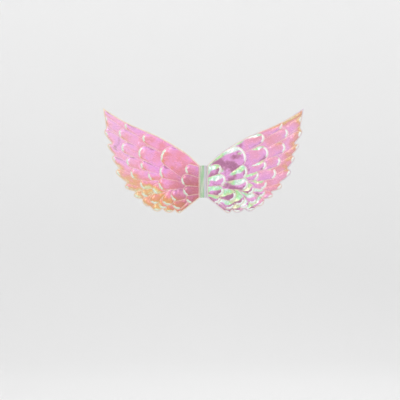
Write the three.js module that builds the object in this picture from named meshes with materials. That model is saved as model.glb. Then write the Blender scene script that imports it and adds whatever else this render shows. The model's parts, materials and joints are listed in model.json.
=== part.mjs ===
// Fairy wings for a child's costume: two padded, feather-shaped wings sewn to a
// short spine of tape, with an elastic shoulder loop on each side of the spine.
//
// Frame: millimetres, +Z up as worn, +X towards the wearer's right-hand wing as
// seen from behind, -Y the decorated face, +Y the wearer's back.
// Origin: centre of the back face of the spine, which lies on the wearer's back.
import * as THREE from "three";

// ---- Driving dimensions -------------------------------------------------------
const WING_REACH = 190.5; // from the middle of the spine to a wing's upper tip
const WING_HEIGHT = 199; // from the lowest feather to the upper tip
const PADDING_THICKNESS = 6;
const FILM_THICKNESS = 0.5; // iridescent film on its thin knit backing
const LINING_THICKNESS = 0.5;

const BINDING_WIDTH = 2.25; // overlocked edge round each wing
const BINDING_THICKNESS = 1.4;
const BINDING_CLEARANCE = 0.3;

const SPINE_HEIGHT = 61;
const TAPE_WIDTH = 12.5;
const WEBBING_THICKNESS = 1.5;
const TAPE_THICKNESS = 0.75;
const HINGE_CLEARANCE = 0.9; // bare fabric between the tapes and a wing's edge

const STITCH_WIDTH = 0.5;
const STITCH_HEIGHT = 0.375;
const STITCH_INSET = 1.6; // from the tape's edge to the row of stitches
const STITCH_END_MARGIN = 1.5;

const ELASTIC_WIDTH = 6;
const ELASTIC_THICKNESS = 1.25;
const ELASTIC_GAP = 0.5; // between the two elastics sewn side by side
const STRAP_END_LENGTH = 8;
const STRAP_END_Z = 12; // middle of a sewn end, above or below the spine's middle
const STRAP_AXIS_X = 5; // the upright line that a loop swings about
const STRAP_AXIS_BEHIND_TAPE = 4.5;
const STRAP_REST_ANGLE = 35; // degrees between a loop and its wing
const STRAP_CLEARANCE = 0.3;
const TACK_WIDTH = 4.5;
const TACK_LENGTH = 5;
const TACK_HEIGHT = 0.375;

const LABEL_WIDTH = 18;
const LABEL_HEIGHT = 12;
const LABEL_THICKNESS = 0.375;
const LABEL_FROM_EDGE = 6; // from the lining's inner edge

// ---- Places that follow from them ---------------------------------------------
const SPINE_BACK = WEBBING_THICKNESS / 2 + TAPE_THICKNESS; // from the seam plane
const HINGE_X = TAPE_WIDTH / 2 + HINGE_CLEARANCE;
const PANEL_INSET = BINDING_WIDTH + BINDING_CLEARANCE;
const LINING_BACK = PADDING_THICKNESS / 2 + LINING_THICKNESS;

// ---- Materials ----------------------------------------------------------------
function finish(color, roughness, metalness = 0) {
  return new THREE.MeshStandardMaterial({ color, roughness, metalness });
}
const FILM = finish(0xf29fc8, 0.25, 0.3);
const FOAM = finish(0xf6f1ee, 0.95);
const LINING = finish(0xf4dce8, 0.85);
const THREAD = finish(0xf3e6d6, 0.6);
const TAPE_FILM = finish(0xbfd9bd, 0.3, 0.3);
const WEBBING = finish(0xf2e4ea, 0.8);
const ELASTIC = finish(0xf7eef2, 0.75);
const SATIN = finish(0xfafafa, 0.5);

// ---- The wing's outline -------------------------------------------------------
// Places are shares of the wing's reach and height: [across, up], from the middle
// of the spine. The leading edge runs from the spine to the upper tip.
const LEADING_EDGE = [
  [0.149, 0.255],
  [0.264, 0.33],
  [0.458, 0.434],
  [0.747, 0.553],
  [0.897, 0.635],
  [1.0, 0.7],
];
// Below the tip each feather ends in a rounded lobe, and a notch divides it from
// the next one down.
const FEATHERS = [
  { notch: [0.967, 0.511], tip: [0.985, 0.46] },
  { notch: [0.91, 0.363], tip: [0.957, 0.342] },
  { notch: [0.887, 0.255], tip: [0.91, 0.216] },
  { notch: [0.842, 0.129], tip: [0.87, 0.077] },
  { notch: [0.764, -0.01], tip: [0.777, -0.06] },
  { notch: [0.678, -0.098], tip: [0.688, -0.145] },
  { notch: [0.613, -0.167], tip: [0.588, -0.224] },
  { notch: [0.534, -0.237], tip: [0.468, -0.285] },
  { notch: [0.409, -0.258], tip: [0.349, -0.297] },
  { notch: [0.284, -0.27], tip: [0.236, -0.3] },
];
const LOBE_ROUNDNESS = 0.5;
const LOBE_STEPS = 4;
const LEADING_STEPS = 14;

function onWing([across, up]) {
  return new THREE.Vector2(across * WING_REACH, up * WING_HEIGHT);
}

// A lobe from one notch round its tip to the next notch.
function lobe(from, tip, to) {
  const shorter = Math.min(from.distanceTo(tip), to.distanceTo(tip));
  const half = from.clone().sub(to).setLength(LOBE_ROUNDNESS * shorter);
  const rise = new THREE.QuadraticBezierCurve(from, tip.clone().add(half), tip);
  const fall = new THREE.QuadraticBezierCurve(tip, tip.clone().sub(half), to);
  return [
    ...rise.getPoints(LOBE_STEPS).slice(0, -1),
    ...fall.getPoints(LOBE_STEPS).slice(0, -1),
  ];
}

// The right wing's outline, clockwise from the top of its sewn edge.
function wingOutline() {
  const sewn_x = HINGE_X;
  const top = new THREE.Vector2(sewn_x, SPINE_HEIGHT / 2);
  const bottom = new THREE.Vector2(sewn_x, -SPINE_HEIGHT / 2);
  const leading = new THREE.SplineCurve([top, ...LEADING_EDGE.map(onWing)]);
  const points = leading.getPoints(LEADING_STEPS);
  FEATHERS.forEach((feather, i) => {
    const next = FEATHERS[i + 1];
    const end = next ? onWing(next.notch) : bottom;
    points.push(...lobe(onWing(feather.notch), onWing(feather.tip), end));
  });
  points.push(bottom);
  return points;
}

function distanceToEdge(p, a, b) {
  const along = b.clone().sub(a);
  const share = p.clone().sub(a).dot(along) / along.lengthSq();
  return a.clone().addScaledVector(along, THREE.MathUtils.clamp(share, 0, 1)).distanceTo(p);
}

function distanceToOutline(p, points) {
  return Math.min(...points.map((a, i) => distanceToEdge(p, points.at(i - 1), a)));
}

// The same outline moved inwards by a distance, with mitred corners. Where a lobe
// is too tight to follow, the points that would cross over are left out.
function inset(points, distance) {
  const edge = (a, b) => b.clone().sub(a).normalize();
  const moved = points.map((p, i) => {
    const before = edge(points.at(i - 1), p);
    const after = edge(p, points[(i + 1) % points.length]);
    const bisector = before.clone().add(after).normalize();
    const normal = new THREE.Vector2(bisector.y, -bisector.x);
    return p.clone().addScaledVector(normal, distance / bisector.dot(after));
  });
  return moved.filter((p) => distanceToOutline(p, points) > 0.97 * distance);
}

// ---- Makers of geometry -------------------------------------------------------
// A plate of an outline drawn in X and Z, from y_front back to y_back.
function plate(outline, y_front, y_back, hole = null) {
  const shape = new THREE.Shape(outline);
  if (hole) shape.holes.push(new THREE.Path(hole.toReversed()));
  const depth = y_back - y_front;
  const g = new THREE.ExtrudeGeometry(shape, { depth, bevelEnabled: false });
  return g.rotateX(Math.PI / 2).translate(0, y_back, 0);
}

function block(width, depth, height, x, y, z, rows = 1) {
  return new THREE.BoxGeometry(width, depth, height, 1, 1, rows).translate(x, y, z);
}

function mirrored(points) {
  return points.map((p) => new THREE.Vector2(-p.x, p.y));
}

function mesh(name, geometry, material) {
  const made = new THREE.Mesh(geometry, material);
  made.name = name;
  return made;
}

// ---- One wing -----------------------------------------------------------------
function wing(side, turn) {
  const outline = turn(wingOutline());
  const seam_line = turn(inset(wingOutline(), BINDING_WIDTH));
  const panel = turn(inset(wingOutline(), PANEL_INSET));
  const half = PADDING_THICKNESS / 2;
  const film = plate(panel, -half - FILM_THICKNESS, -half);
  const padding = plate(panel, -half, half);
  const lining = plate(panel, half, LINING_BACK);
  const rim = BINDING_THICKNESS / 2;
  const binding = plate(outline, -rim, rim, seam_line);
  return [
    mesh(side + "_wing_film", film, FILM),
    mesh(side + "_wing_padding", padding, FOAM),
    mesh(side + "_wing_lining", lining, LINING),
    mesh(side + "_wing_edge_binding", binding, THREAD),
  ];
}

function careLabel() {
  const x = HINGE_X + PANEL_INSET + LABEL_FROM_EDGE + LABEL_WIDTH / 2;
  const y = LINING_BACK + LABEL_THICKNESS / 2;
  const satin = block(LABEL_WIDTH, LABEL_THICKNESS, LABEL_HEIGHT, x, y, 0);
  return mesh("care_label", satin, SATIN);
}

// ---- The spine ----------------------------------------------------------------
function spine() {
  const middle = WEBBING_THICKNESS / 2 + TAPE_THICKNESS / 2;
  const webbing = block(TAPE_WIDTH, WEBBING_THICKNESS, SPINE_HEIGHT, 0, 0, 0);
  const front = block(TAPE_WIDTH, TAPE_THICKNESS, SPINE_HEIGHT, 0, -middle, 0);
  const back = block(TAPE_WIDTH, TAPE_THICKNESS, SPINE_HEIGHT, 0, middle, 0, 5);
  return [
    mesh("spine_webbing", webbing, WEBBING),
    mesh("spine_front_tape", front, TAPE_FILM),
    mesh("spine_back_tape", back, WEBBING),
  ];
}

function stitchRow(side, sign) {
  const x = sign * (TAPE_WIDTH / 2 - STITCH_INSET);
  const y = -SPINE_BACK - STITCH_HEIGHT / 2;
  const length = SPINE_HEIGHT - 2 * STITCH_END_MARGIN;
  const row = block(STITCH_WIDTH, STITCH_HEIGHT, length, x, y, 0);
  return mesh("spine_stitches_" + side, row, THREAD);
}

// ---- The straps ---------------------------------------------------------------
// An elastic's end is folded double, laid on the back tape and tacked down.
function strapEnd(side, sign, level, up) {
  const x = sign * (ELASTIC_WIDTH + ELASTIC_GAP) / 2;
  const z = up * STRAP_END_Z;
  const fold = 2 * ELASTIC_THICKNESS;
  const tack_y = SPINE_BACK + fold + TACK_HEIGHT / 2;
  const end = block(ELASTIC_WIDTH, fold, STRAP_END_LENGTH, x, SPINE_BACK + fold / 2, z);
  const tack = block(TACK_WIDTH, TACK_HEIGHT, TACK_LENGTH, x, tack_y, z);
  return [
    mesh(side + "_strap_" + level + "_end", end, ELASTIC),
    mesh(side + "_strap_" + level + "_tack", tack, THREAD),
  ];
}

// The loop of elastic that an arm goes through, in its own upright plane:
// [outwards from the swing axis, up].
const LOOP_ROUTE = [
  [0.8, 21.5],
  [5, 26.5],
  [16, 32],
  [36, 41],
  [60, 44],
  [82, 35],
  [95, 12],
  [94, -14],
  [80, -34],
  [58, -45],
  [36, -45],
  [17, -36],
  [5, -27],
  [0.8, -21.5],
];
const LOOP_STEPS = 70;

function strapLoop(side, sign) {
  const start = STRAP_END_Z + STRAP_END_LENGTH / 2 + STRAP_CLEARANCE;
  const route = [[0, start], ...LOOP_ROUTE, [0, -start]];
  const points = route.map(([out, up]) => new THREE.Vector3(out, 0, up));
  const path = new THREE.CatmullRomCurve3(points, false, "centripetal");
  const w = ELASTIC_WIDTH / 2;
  const t = ELASTIC_THICKNESS / 2;
  const corners = [[-w, -t], [w, -t], [w, t], [-w, t]];
  const section = new THREE.Shape(corners.map((c) => new THREE.Vector2(...c)));
  const band = new THREE.ExtrudeGeometry(section, {
    extrudePath: path,
    steps: LOOP_STEPS,
    bevelEnabled: false,
  });
  const loop = mesh(side + "_strap", band, ELASTIC);
  const swing = new THREE.Group();
  const rest = THREE.MathUtils.degToRad(STRAP_REST_ANGLE);
  swing.rotation.z = sign > 0 ? rest : Math.PI - rest;
  swing.position.set(sign * STRAP_AXIS_X, SPINE_BACK + STRAP_AXIS_BEHIND_TAPE, 0);
  swing.add(loop);
  return swing;
}

// ---- The object ---------------------------------------------------------------
const wings = new THREE.Group();
wings.add(...spine(), ...wing("right", (points) => points), careLabel());
wings.add(...wing("left", mirrored));
for (const [side, sign] of [["left", -1], ["right", 1]]) {
  wings.add(stitchRow(side, sign), strapLoop(side, sign));
  wings.add(...strapEnd(side, sign, "upper", 1), ...strapEnd(side, sign, "lower", -1));
}
wings.position.y = -SPINE_BACK; // brings the spine's back face to the origin

const part = new THREE.Group();
part.add(wings);
export default part;
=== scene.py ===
# %% [markdown]
# # Fairy wings
# A pair of small padded wings for dressing up. Each wing is two layers of cloth with
# wadding between them, pressed into feathers, and the two are sewn to a short spine of
# tape. Elastic loops on the back of the spine go over the shoulders.
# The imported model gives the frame. Everything here is in metres, with -Y the decorated
# face and +Y the wearer's back.

# %% Load the frame
import json
import math
from types import SimpleNamespace

import bmesh
import bpy
import numpy as np
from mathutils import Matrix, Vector, noise
from mathutils.geometry import delaunay_2d_cdt
from mathutils.kdtree import KDTree


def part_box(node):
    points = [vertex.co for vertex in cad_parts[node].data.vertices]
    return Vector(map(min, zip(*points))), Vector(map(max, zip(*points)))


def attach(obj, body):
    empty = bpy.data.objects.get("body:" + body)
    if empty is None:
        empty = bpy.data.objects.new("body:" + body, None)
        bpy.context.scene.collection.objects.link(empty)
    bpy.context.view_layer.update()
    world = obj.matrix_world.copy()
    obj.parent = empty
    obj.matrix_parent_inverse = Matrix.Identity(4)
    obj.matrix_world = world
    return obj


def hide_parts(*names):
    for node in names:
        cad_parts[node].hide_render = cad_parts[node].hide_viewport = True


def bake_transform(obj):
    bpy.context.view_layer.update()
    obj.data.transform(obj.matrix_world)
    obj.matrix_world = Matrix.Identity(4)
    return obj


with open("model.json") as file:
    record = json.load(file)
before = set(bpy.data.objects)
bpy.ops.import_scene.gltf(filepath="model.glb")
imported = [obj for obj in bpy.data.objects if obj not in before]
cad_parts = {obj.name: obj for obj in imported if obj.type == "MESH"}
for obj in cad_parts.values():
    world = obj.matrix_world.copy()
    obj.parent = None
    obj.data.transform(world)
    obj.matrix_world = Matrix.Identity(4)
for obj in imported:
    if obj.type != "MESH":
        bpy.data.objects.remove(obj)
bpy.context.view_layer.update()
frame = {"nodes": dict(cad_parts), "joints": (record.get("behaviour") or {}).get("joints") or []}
MM = 0.001

# %% [markdown]
# ## Places
# Sizes are read from the solids that each piece stands for, so that a change to the
# model moves the cloth with it. The seam plane is the middle of the sewn edge, where the
# front and the back of a wing meet.

# %% Places from the frame
def middle(node):
    low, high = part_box(node)
    return (low + high) / 2


EDGE_LOW, EDGE_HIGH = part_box("right_wing_edge_binding")
SEAM_Y = middle("right_wing_edge_binding").y
EDGE_HALF = (EDGE_HIGH.y - EDGE_LOW.y) / 2
FRONT_RISE = SEAM_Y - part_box("right_wing_film")[0].y  # how far the film's solid stands out
BACK_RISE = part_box("right_wing_lining")[1].y - SEAM_Y
HINGE_X = EDGE_LOW.x
print("seam plane y", round(SEAM_Y / MM, 2), "front rise", round(FRONT_RISE / MM, 2))

# %% [markdown]
# ## Colours and small helpers
# Colours are written as a screen shows them and turned into the linear light that the
# shader works in. Most pieces are made as plain lists of points and faces.

# %% Helpers
def tint(red, green, blue):
    """A screen colour from 0 to 255, as linear light."""
    shares = [value / 255 for value in (red, green, blue)]
    linear = [s / 12.92 if s < 0.04 else ((s + 0.055) / 1.055) ** 2.4 for s in shares]
    return (*linear, 1.0)


def smooth(value, low, high):
    """0 below low, 1 above high and a smooth rise between."""
    share = np.clip((value - low) / (high - low), 0, 1)
    return share * share * (3 - 2 * share)


def piece(name, points, faces, material=None):
    """A smooth-shaded mesh in its place, in metres."""
    mesh = bpy.data.meshes.new(name)
    points = [tuple(map(float, p)) for p in points]
    mesh.from_pydata(points, [], [tuple(map(int, f)) for f in faces])
    mesh.validate()
    mesh.polygons.foreach_set("use_smooth", [True] * len(mesh.polygons))
    made = bpy.data.objects.new(name, mesh)
    bpy.context.scene.collection.objects.link(made)
    if material:
        mesh.materials.append(material)
    return made


def keep_values(made, name, values, kind="FLOAT"):
    """Stores a number or a vector on each point, for the material to read."""
    attribute = made.data.attributes.new(name, kind, "POINT")
    field = "value" if kind == "FLOAT" else "vector"
    attribute.data.foreach_set(field, np.asarray(values, np.float32).ravel())


def vectors_of(items, field):
    """One vector for each item of a mesh, as the rows of an array."""
    found = np.empty(len(items) * 3)
    items.foreach_get(field, found)
    return found.reshape(-1, 3)


def recalculated(made):
    """Turns every face of a closed piece outwards."""
    sheet = bmesh.new()
    sheet.from_mesh(made.data)
    bmesh.ops.recalc_face_normals(sheet, faces=sheet.faces)
    sheet.to_mesh(made.data)
    sheet.free()
    return made


def solid(made, thickness, offset):
    wall = made.modifiers.new("thickness", "SOLIDIFY")
    wall.thickness = thickness
    wall.offset = offset
    wall.use_even_offset = True


print("helpers ready")

# %% [markdown]
# Most pieces are one of three shapes: a sheet of rows and columns, a tube of rings, or two
# sheets closed round their rim. These helpers join their points into faces.

# %% Faces
def grid_faces(rows, across):
    """Quads over rows of points, each row one point more than across."""
    starts = [j * (across + 1) + i for j in range(rows) for i in range(across)]
    return [(a, a + 1, a + across + 2, a + across + 1) for a in starts]


def tube_faces(rings, size, closed):
    """Quads between rings of points, and round to the first ring if closed."""
    faces = []
    for i in range(rings if closed else rings - 1):
        here, onward = i * size, (i + 1) % rings * size
        for j in range(size):
            k = (j + 1) % size
            faces.append((here + j, here + k, onward + k, onward + j))
    return faces


def turned_over(faces, count=0):
    """The same quads seen from behind, count points further on."""
    return [(a + count, d + count, c + count, b + count) for a, b, c, d in faces]


def rim_faces(rim, count):
    """Quads that join the rim of a sheet to the same rim, count points further on."""
    return [(b, a, a + count, b + count) for a, b in zip(rim, rim[1:] + rim[:1])]


print("quads over a strip of 2 x 3:", len(grid_faces(2, 3)))

# %% [markdown]
# ## The wing's outline
# The bound edge's solid holds the outline twice: the outside of the edge, and the line
# where the edge meets the feathers. Both are read from its front face. From each point
# of the outside, the nearest point of the inner line says which way is inwards, even in
# the sharp notches between feathers.

# %% Outline
def front_loops(node):
    """The closed lines round a flat node's front face, largest first, as x and z."""
    mesh = frame["nodes"][node].data
    points = np.array([v.co for v in mesh.vertices])
    keys = [tuple(p) for p in np.round(points / (0.01 * MM)).astype(int)]
    front = round(points[:, 1].min() / (0.01 * MM))
    place = {k: p for k, p in zip(keys, points)}
    onward = {}
    for face in mesh.polygons:
        corners = [keys[i] for i in face.vertices]
        if any(abs(k[1] - front) > 1 for k in corners):
            continue
        for a, b in zip(corners, corners[1:] + corners[:1]):
            if a in onward.get(b, ()):
                onward[b].remove(a)
            else:
                onward.setdefault(a, []).append(b)
    loops = []
    while any(onward.values()):
        here = next(a for a, ends in onward.items() if ends)
        loop = []
        while onward.get(here):
            loop.append(place[here][[0, 2]])
            here = onward[here].pop()
        loops.append(np.array(loop))
    return sorted(loops, key=lambda loop: -np.ptp(loop[:, 0]))


def evenly(loop, pitch):
    """A closed line with points added, no further apart than pitch."""
    made = []
    for a, b in zip(loop, np.roll(loop, -1, axis=0)):
        count = max(1, math.ceil(np.linalg.norm(b - a) / pitch))
        made += [a + (b - a) * i / count for i in range(count)]
    return np.array(made)


def nearest_on(loop, points):
    """The nearest place on a closed line to each point."""
    a, b = loop, np.roll(loop, -1, axis=0)
    along = b - a
    best = np.full(len(points), np.inf)
    found = np.zeros((len(points), 2))
    for start, step in zip(a, along):
        share = np.clip((points - start) @ step / max(step @ step, 1e-18), 0, 1)
        near = start + share[:, None] * step
        gap = np.linalg.norm(points - near, axis=1)
        closer = gap < best
        best[closer], found[closer] = gap[closer], near[closer]
    return found, best


EDGE_OUTSIDE, EDGE_INSIDE = front_loops("right_wing_edge_binding")[:2]
EDGE_PITCH = 1.2 * MM
EDGE = evenly(EDGE_OUTSIDE, EDGE_PITCH)
INWARDS = nearest_on(EDGE_INSIDE, EDGE)[0] - EDGE
SHEET_EDGE = EDGE + 0.6 * INWARDS  # the cloth ends inside the folded binding
print("outline points:", len(EDGE_OUTSIDE), "to", len(EDGE))

# %% [markdown]
# ## The feathers
# Real feathers lie like roof tiles, in tiers. The tier next to the spine lies on top, and
# in each tier an upper feather lies over the one below it. A feather here is its tip, the
# way it points, its half width, and how long and round its point is. All are in
# millimetres and degrees, on the right-hand wing; the left wing mirrors them.

# %% Feathers
TIERS = {
    "spine": [
        (34, 26, 18, 9.5, 10),
        (42, 4, 4, 10.5, 11),
        (38, -19, -10, 9, 10),
        (31, -37, -36, 9, 10),
    ],
    "inner": [
        (77, 57, 34, 18.5, 16),
        (83, 21, 10, 13, 12),
        (85, -5, -5, 11.5, 11),
        (61, -29, -16, 10.5, 11),
    ],
    "middle": [
        (115, 86, 26, 10, 15),
        (122, 60, 26, 13, 14),
        (119, 34, 16, 9.5, 11),
        (105, 13, 4, 9.5, 10),
        (96, -17, -20, 9.5, 10),
        (74, -42, -48, 10.5, 11),
    ],
    "outer": [
        (149, 111, 30, 9, 16),
        (160, 96, 28, 9.5, 14),
        (155, 68, 22, 10.5, 12),
        (146, 41, 18, 9.5, 12),
        (138, 17, 8, 10.5, 11),
        (120, -6, -10, 10, 11),
        (116, -25, -32, 8, 9),
        (98, -40, -50, 8.5, 9),
        (80, -50, -66, 9, 9),
        (56, -49, -46, 11, 11),
    ],
    "edge": [
        (194, 141, 33, 9, 30),
        (189, 121, 36, 9, 22),
        (188, 92, 36, 10, 16),
        (183, 68, 27, 9.5, 14),
        (175, 43, 24, 10, 13),
        (167, 15, 14, 12, 14),
        (150, -12, -12, 11, 12),
        (133, -30, -28, 9, 11),
        (113, -49, -48, 11, 12),
        (89, -60, -68, 13, 13),
        (66, -62, -84, 12, 12),
        (44, -63, -80, 12, 12),
    ],
}
FEATHER_LENGTH = 75
FEATHERS = [spec for tier in TIERS.values() for spec in tier]  # topmost first
print("feathers on a wing:", len(FEATHERS))

# %% [markdown]
# Two questions are asked of the feathers. How deep inside a feather's rounded outline does
# a point lie? And which feather is on top there? The pressed lines run where the edge of a
# feather shows, so the edge of each feather is walked and its covered stretches dropped.

# %% Feather shape
BLUNTNESS = 2.2  # 2 would round a tip like an ellipse, and more makes it squarer
WIDENING = 0.0022  # share of the width gained with each millimetre behind the tip


def half_width(behind, half, roundness):
    """How far a feather reaches beside its quill, at a distance behind its tip."""
    rounding = 1 - np.clip(behind / roundness, 0, 1)
    return half * np.sqrt(1 - rounding**BLUNTNESS) * (1 + WIDENING * behind)


def in_feather(points, spec):
    """Millimetres behind the tip and beside the quill, and the share of the half width."""
    x, z, heading, half, roundness = spec
    turn = math.radians(heading)
    dx, dz = points[:, 0] / MM - x, points[:, 1] / MM - z
    behind = -(dx * math.cos(turn) + dz * math.sin(turn))
    beside = -dx * math.sin(turn) + dz * math.cos(turn)
    width = half_width(np.clip(behind, 0, 60), half, roundness)
    width = np.maximum(width, 0.001 * half)
    share = np.where((behind > 0) & (behind < FEATHER_LENGTH), np.abs(beside) / width, 9)
    return behind, beside, share


def top_feather(points):
    """For each point, the number of the feather on top, or -1, and its place in it."""
    which = np.full(len(points), -1)
    behind_all, beside_all = np.zeros(len(points)), np.zeros(len(points))
    for number in reversed(range(len(FEATHERS))):
        behind, beside, share = in_feather(points, FEATHERS[number])
        inside = share < 1
        which[inside] = number
        behind_all[inside], beside_all[inside] = behind[inside], beside[inside]
    return which, behind_all, beside_all


def feather_edge(spec):
    """Points down both sides of a feather from its tip."""
    x, z, heading, half, roundness = spec
    turn = math.radians(heading)
    ease = np.linspace(0, 1, 40) ** 2
    behind = np.concatenate([ease * roundness, np.arange(roundness, FEATHER_LENGTH, 0.8)])
    width = half_width(behind, half, roundness)
    sides = []
    for side in (-1, 1):
        px = x - behind * math.cos(turn) - side * width * math.sin(turn)
        pz = z - behind * math.sin(turn) + side * width * math.cos(turn)
        sides.append(np.stack([px, pz], axis=1) * MM)
    return np.concatenate(sides)


def pressed_lines():
    """Every place where the edge of a feather shows, and how far that is behind its tip."""
    lines, behind_tip = [], []
    for number, spec in enumerate(FEATHERS):
        edge = feather_edge(spec)
        covered = np.zeros(len(edge), bool)
        for above in FEATHERS[:number]:
            covered |= in_feather(edge, above)[2] < 1
        lines.append(edge[~covered])
        behind_tip.append(in_feather(edge, spec)[0][~covered])
    return np.concatenate(lines), np.concatenate(behind_tip)


def inside_loop(points, loop):
    """Which points lie inside a closed line: those whose ray crosses it an odd number of times."""
    x, z = points[:, 0], points[:, 1]
    inside = np.zeros(len(points), bool)
    for (ax, az), (bx, bz) in zip(loop, np.roll(loop, -1, axis=0)):
        crosses = (az > z) != (bz > z)
        with np.errstate(divide="ignore", invalid="ignore"):
            at = ax + (z - az) * (bx - ax) / (bz - az)
        inside ^= crosses & (x < at)
    return inside


PRESSED, PRESSED_BEHIND = pressed_lines()
SHOWN = inside_loop(PRESSED, EDGE_INSIDE)
PRESSED, PRESSED_BEHIND = PRESSED[SHOWN], PRESSED_BEHIND[SHOWN]
print("points on the pressed lines:", len(PRESSED))

# %% [markdown]
# ## The cloth of a wing
# The front and the back of a wing are flat sheets pressed together along the lines
# between feathers. A fine net of triangles covers the outline. Its points follow the
# pressed lines, so a crease is as sharp as the press made it. The height over each cell
# rises quickly from the pressed line and slowly towards the feather's tip.

# %% Net of points
def thinned(points, pitch):
    """The same points with none closer together than pitch."""
    kept, taken = [], set()
    for p in points:
        cell = (int(p[0] // pitch), int(p[1] // pitch))
        if cell not in taken:
            taken.add(cell)
            kept.append(p)
    return np.array(kept)


def tree_of(points):
    """A search tree that finds the nearest of many points."""
    tree = KDTree(len(points))
    for i, p in enumerate(points):
        tree.insert((*p, 0), i)
    tree.balance()
    return tree


def wing_net(pitch):
    """Points and triangles over the right-hand wing, as x and z."""
    rim = thinned(SHEET_EDGE, 0.6 * pitch)
    low, high = rim.min(axis=0), rim.max(axis=0)
    rows = np.arange(low[1], high[1], pitch * 0.87)
    grid = np.array([
        (x + (i % 2) * pitch / 2, z)
        for i, z in enumerate(rows)
        for x in np.arange(low[0], high[0], pitch)
    ])
    grid = grid[inside_loop(grid, rim)]
    lines = thinned(PRESSED, 0.8 * pitch)
    near_line = tree_of(lines)
    apart = np.array([near_line.find((*p, 0))[2] for p in grid])
    inner = np.concatenate([grid[apart > 0.55 * pitch], lines])
    inner = inner[inside_loop(inner, rim)]
    inner = inner[nearest_on(rim, inner)[1] > 0.5 * pitch]  # none crowd the rim
    points = np.concatenate([rim, inner])
    ties = [(i, (i + 1) % len(rim)) for i in range(len(rim))]
    made = delaunay_2d_cdt([Vector(p) for p in points], ties, [], 1, 1e-7)
    return np.array([tuple(p) for p in made[0]]), [list(f) for f in made[2]], len(rim)


print("net helpers ready")

# %% [markdown]
# Everything later asks the same things of a point: which feather it is in, how far behind
# that feather's tip, and how far it is from a pressed line or from the edge. So each net is
# surveyed once. The fine net carries the film and the lining, the coarse one the wadding.

# %% Survey of the net
PRESS_HALF = 0.5  # half the width of a pressed line, in millimetres
RIM_WALL = evenly(SHEET_EDGE, 0.6 * MM)
WALLS = tree_of(np.concatenate([PRESSED, RIM_WALL]))
# A feather is pressed hard round its tip and less and less along its sides.
FEATHER_FIRMNESS = 1 - 0.52 * smooth(PRESSED_BEHIND, 14, 45)
PRESSED_FIRMLY = np.concatenate([FEATHER_FIRMNESS, np.ones(len(RIM_WALL))])
HALF_WIDTHS = np.array([spec[3] for spec in FEATHERS] + [9.0])  # the last is for no feather


def surveyed(pitch):
    """A net with what is known at each point: its feather, and how far it is from a line."""
    points, faces, rim = wing_net(pitch)
    which, behind, beside = top_feather(points)
    nearest = [WALLS.find((*p, 0)) for p in points]
    from_line = np.array([found[2] for found in nearest]) / MM
    firm = PRESSED_FIRMLY[[found[1] for found in nearest]]
    from_edge = nearest_on(SHEET_EDGE, points)[1] / MM
    return SimpleNamespace(
        points=points, faces=faces, rim=rim, which=which, behind=behind,
        beside=beside, from_line=from_line, firm=firm, from_edge=from_edge,
    )


def crown(net, fullest):
    """Low on a pressed line, and 1 in the middle of a feather."""
    reach = np.clip(0.9 * HALF_WIDTHS[net.which], 5, fullest)
    share = np.clip((net.from_line - PRESS_HALF) / reach, 0, 1)
    return 1 - net.firm * (1 - np.sqrt(1 - (1 - share) ** 2))


def tip_rise(net):
    """Each feather is thin where it leaves the one above, and full at its tip."""
    fullness = 1 - smooth(net.behind, 2, 40)
    return np.where(net.which < 0, 0.35, 0.25 + 0.75 * fullness)


def crinkle(net, seed):
    """Fine folds that run along each feather, from -1 to 1."""
    folds = []
    for along, beside, number in zip(net.behind, net.beside, net.which):
        broad = noise.noise(Vector((along / 17, beside / 5.2, seed + 1.7 * number)))
        fine = noise.noise(Vector((along / 7, beside / 2.6, seed - 2.3 * number)))
        folds.append((broad + 0.25 * fine) * min(1.2, HALF_WIDTHS[number] / 11))
    return np.array(folds)


FINE_NET = surveyed(1.05 * MM)
COARSE_NET = surveyed(2.6 * MM)
print("points on the nets:", len(FINE_NET.points), "and", len(COARSE_NET.points))

# %% [markdown]
# ## Puffing up the front
# The film is thin and springy, so a stuffed feather doesn't swell like a balloon. It
# buckles into small folds that run in from its pressed edge. Cloth simulation makes those
# folds: the sheet is given a few per cent more cloth than the flat outline needs, its
# pressed lines are pinned, and air pressure stands in for the wadding. Without gravity
# it settles in a few frames, and the result becomes a plain mesh.

# %% Cloth simulation
SETTLE_FRAMES = 14
SPARE_CLOTH = 0.025
SWELL_CAP = 0.7 * MM  # no point moves further than this from where it was laid
SINK_CAP = 0.08 * MM  # and hardly at all towards the wadding
CLOTH = {
    "quality": 4,
    "mass": 0.15,
    "tension_stiffness": 18,
    "compression_stiffness": 18,
    "shear_stiffness": 6,
    "bending_stiffness": 1.2,
    "shrink_min": -SPARE_CLOTH,
    "use_pressure": True,
    "uniform_pressure_force": -2.4,  # towards the front, because the net faces forward
}


def blurred(made, values, rounds, groups):
    """Evens out values between neighbours that are in the same group."""
    ends = np.array([e.vertices[:] for e in made.data.edges])
    ends = ends[groups[ends[:, 0]] == groups[ends[:, 1]]]
    neighbours = np.maximum(np.bincount(ends.ravel(), minlength=len(values)), 1)[:, None]
    for _ in range(rounds):
        total = np.zeros_like(values)
        np.add.at(total, ends[:, 0], values[ends[:, 1]])
        np.add.at(total, ends[:, 1], values[ends[:, 0]])
        values = (values + total / neighbours) / 2
    return values


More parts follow.
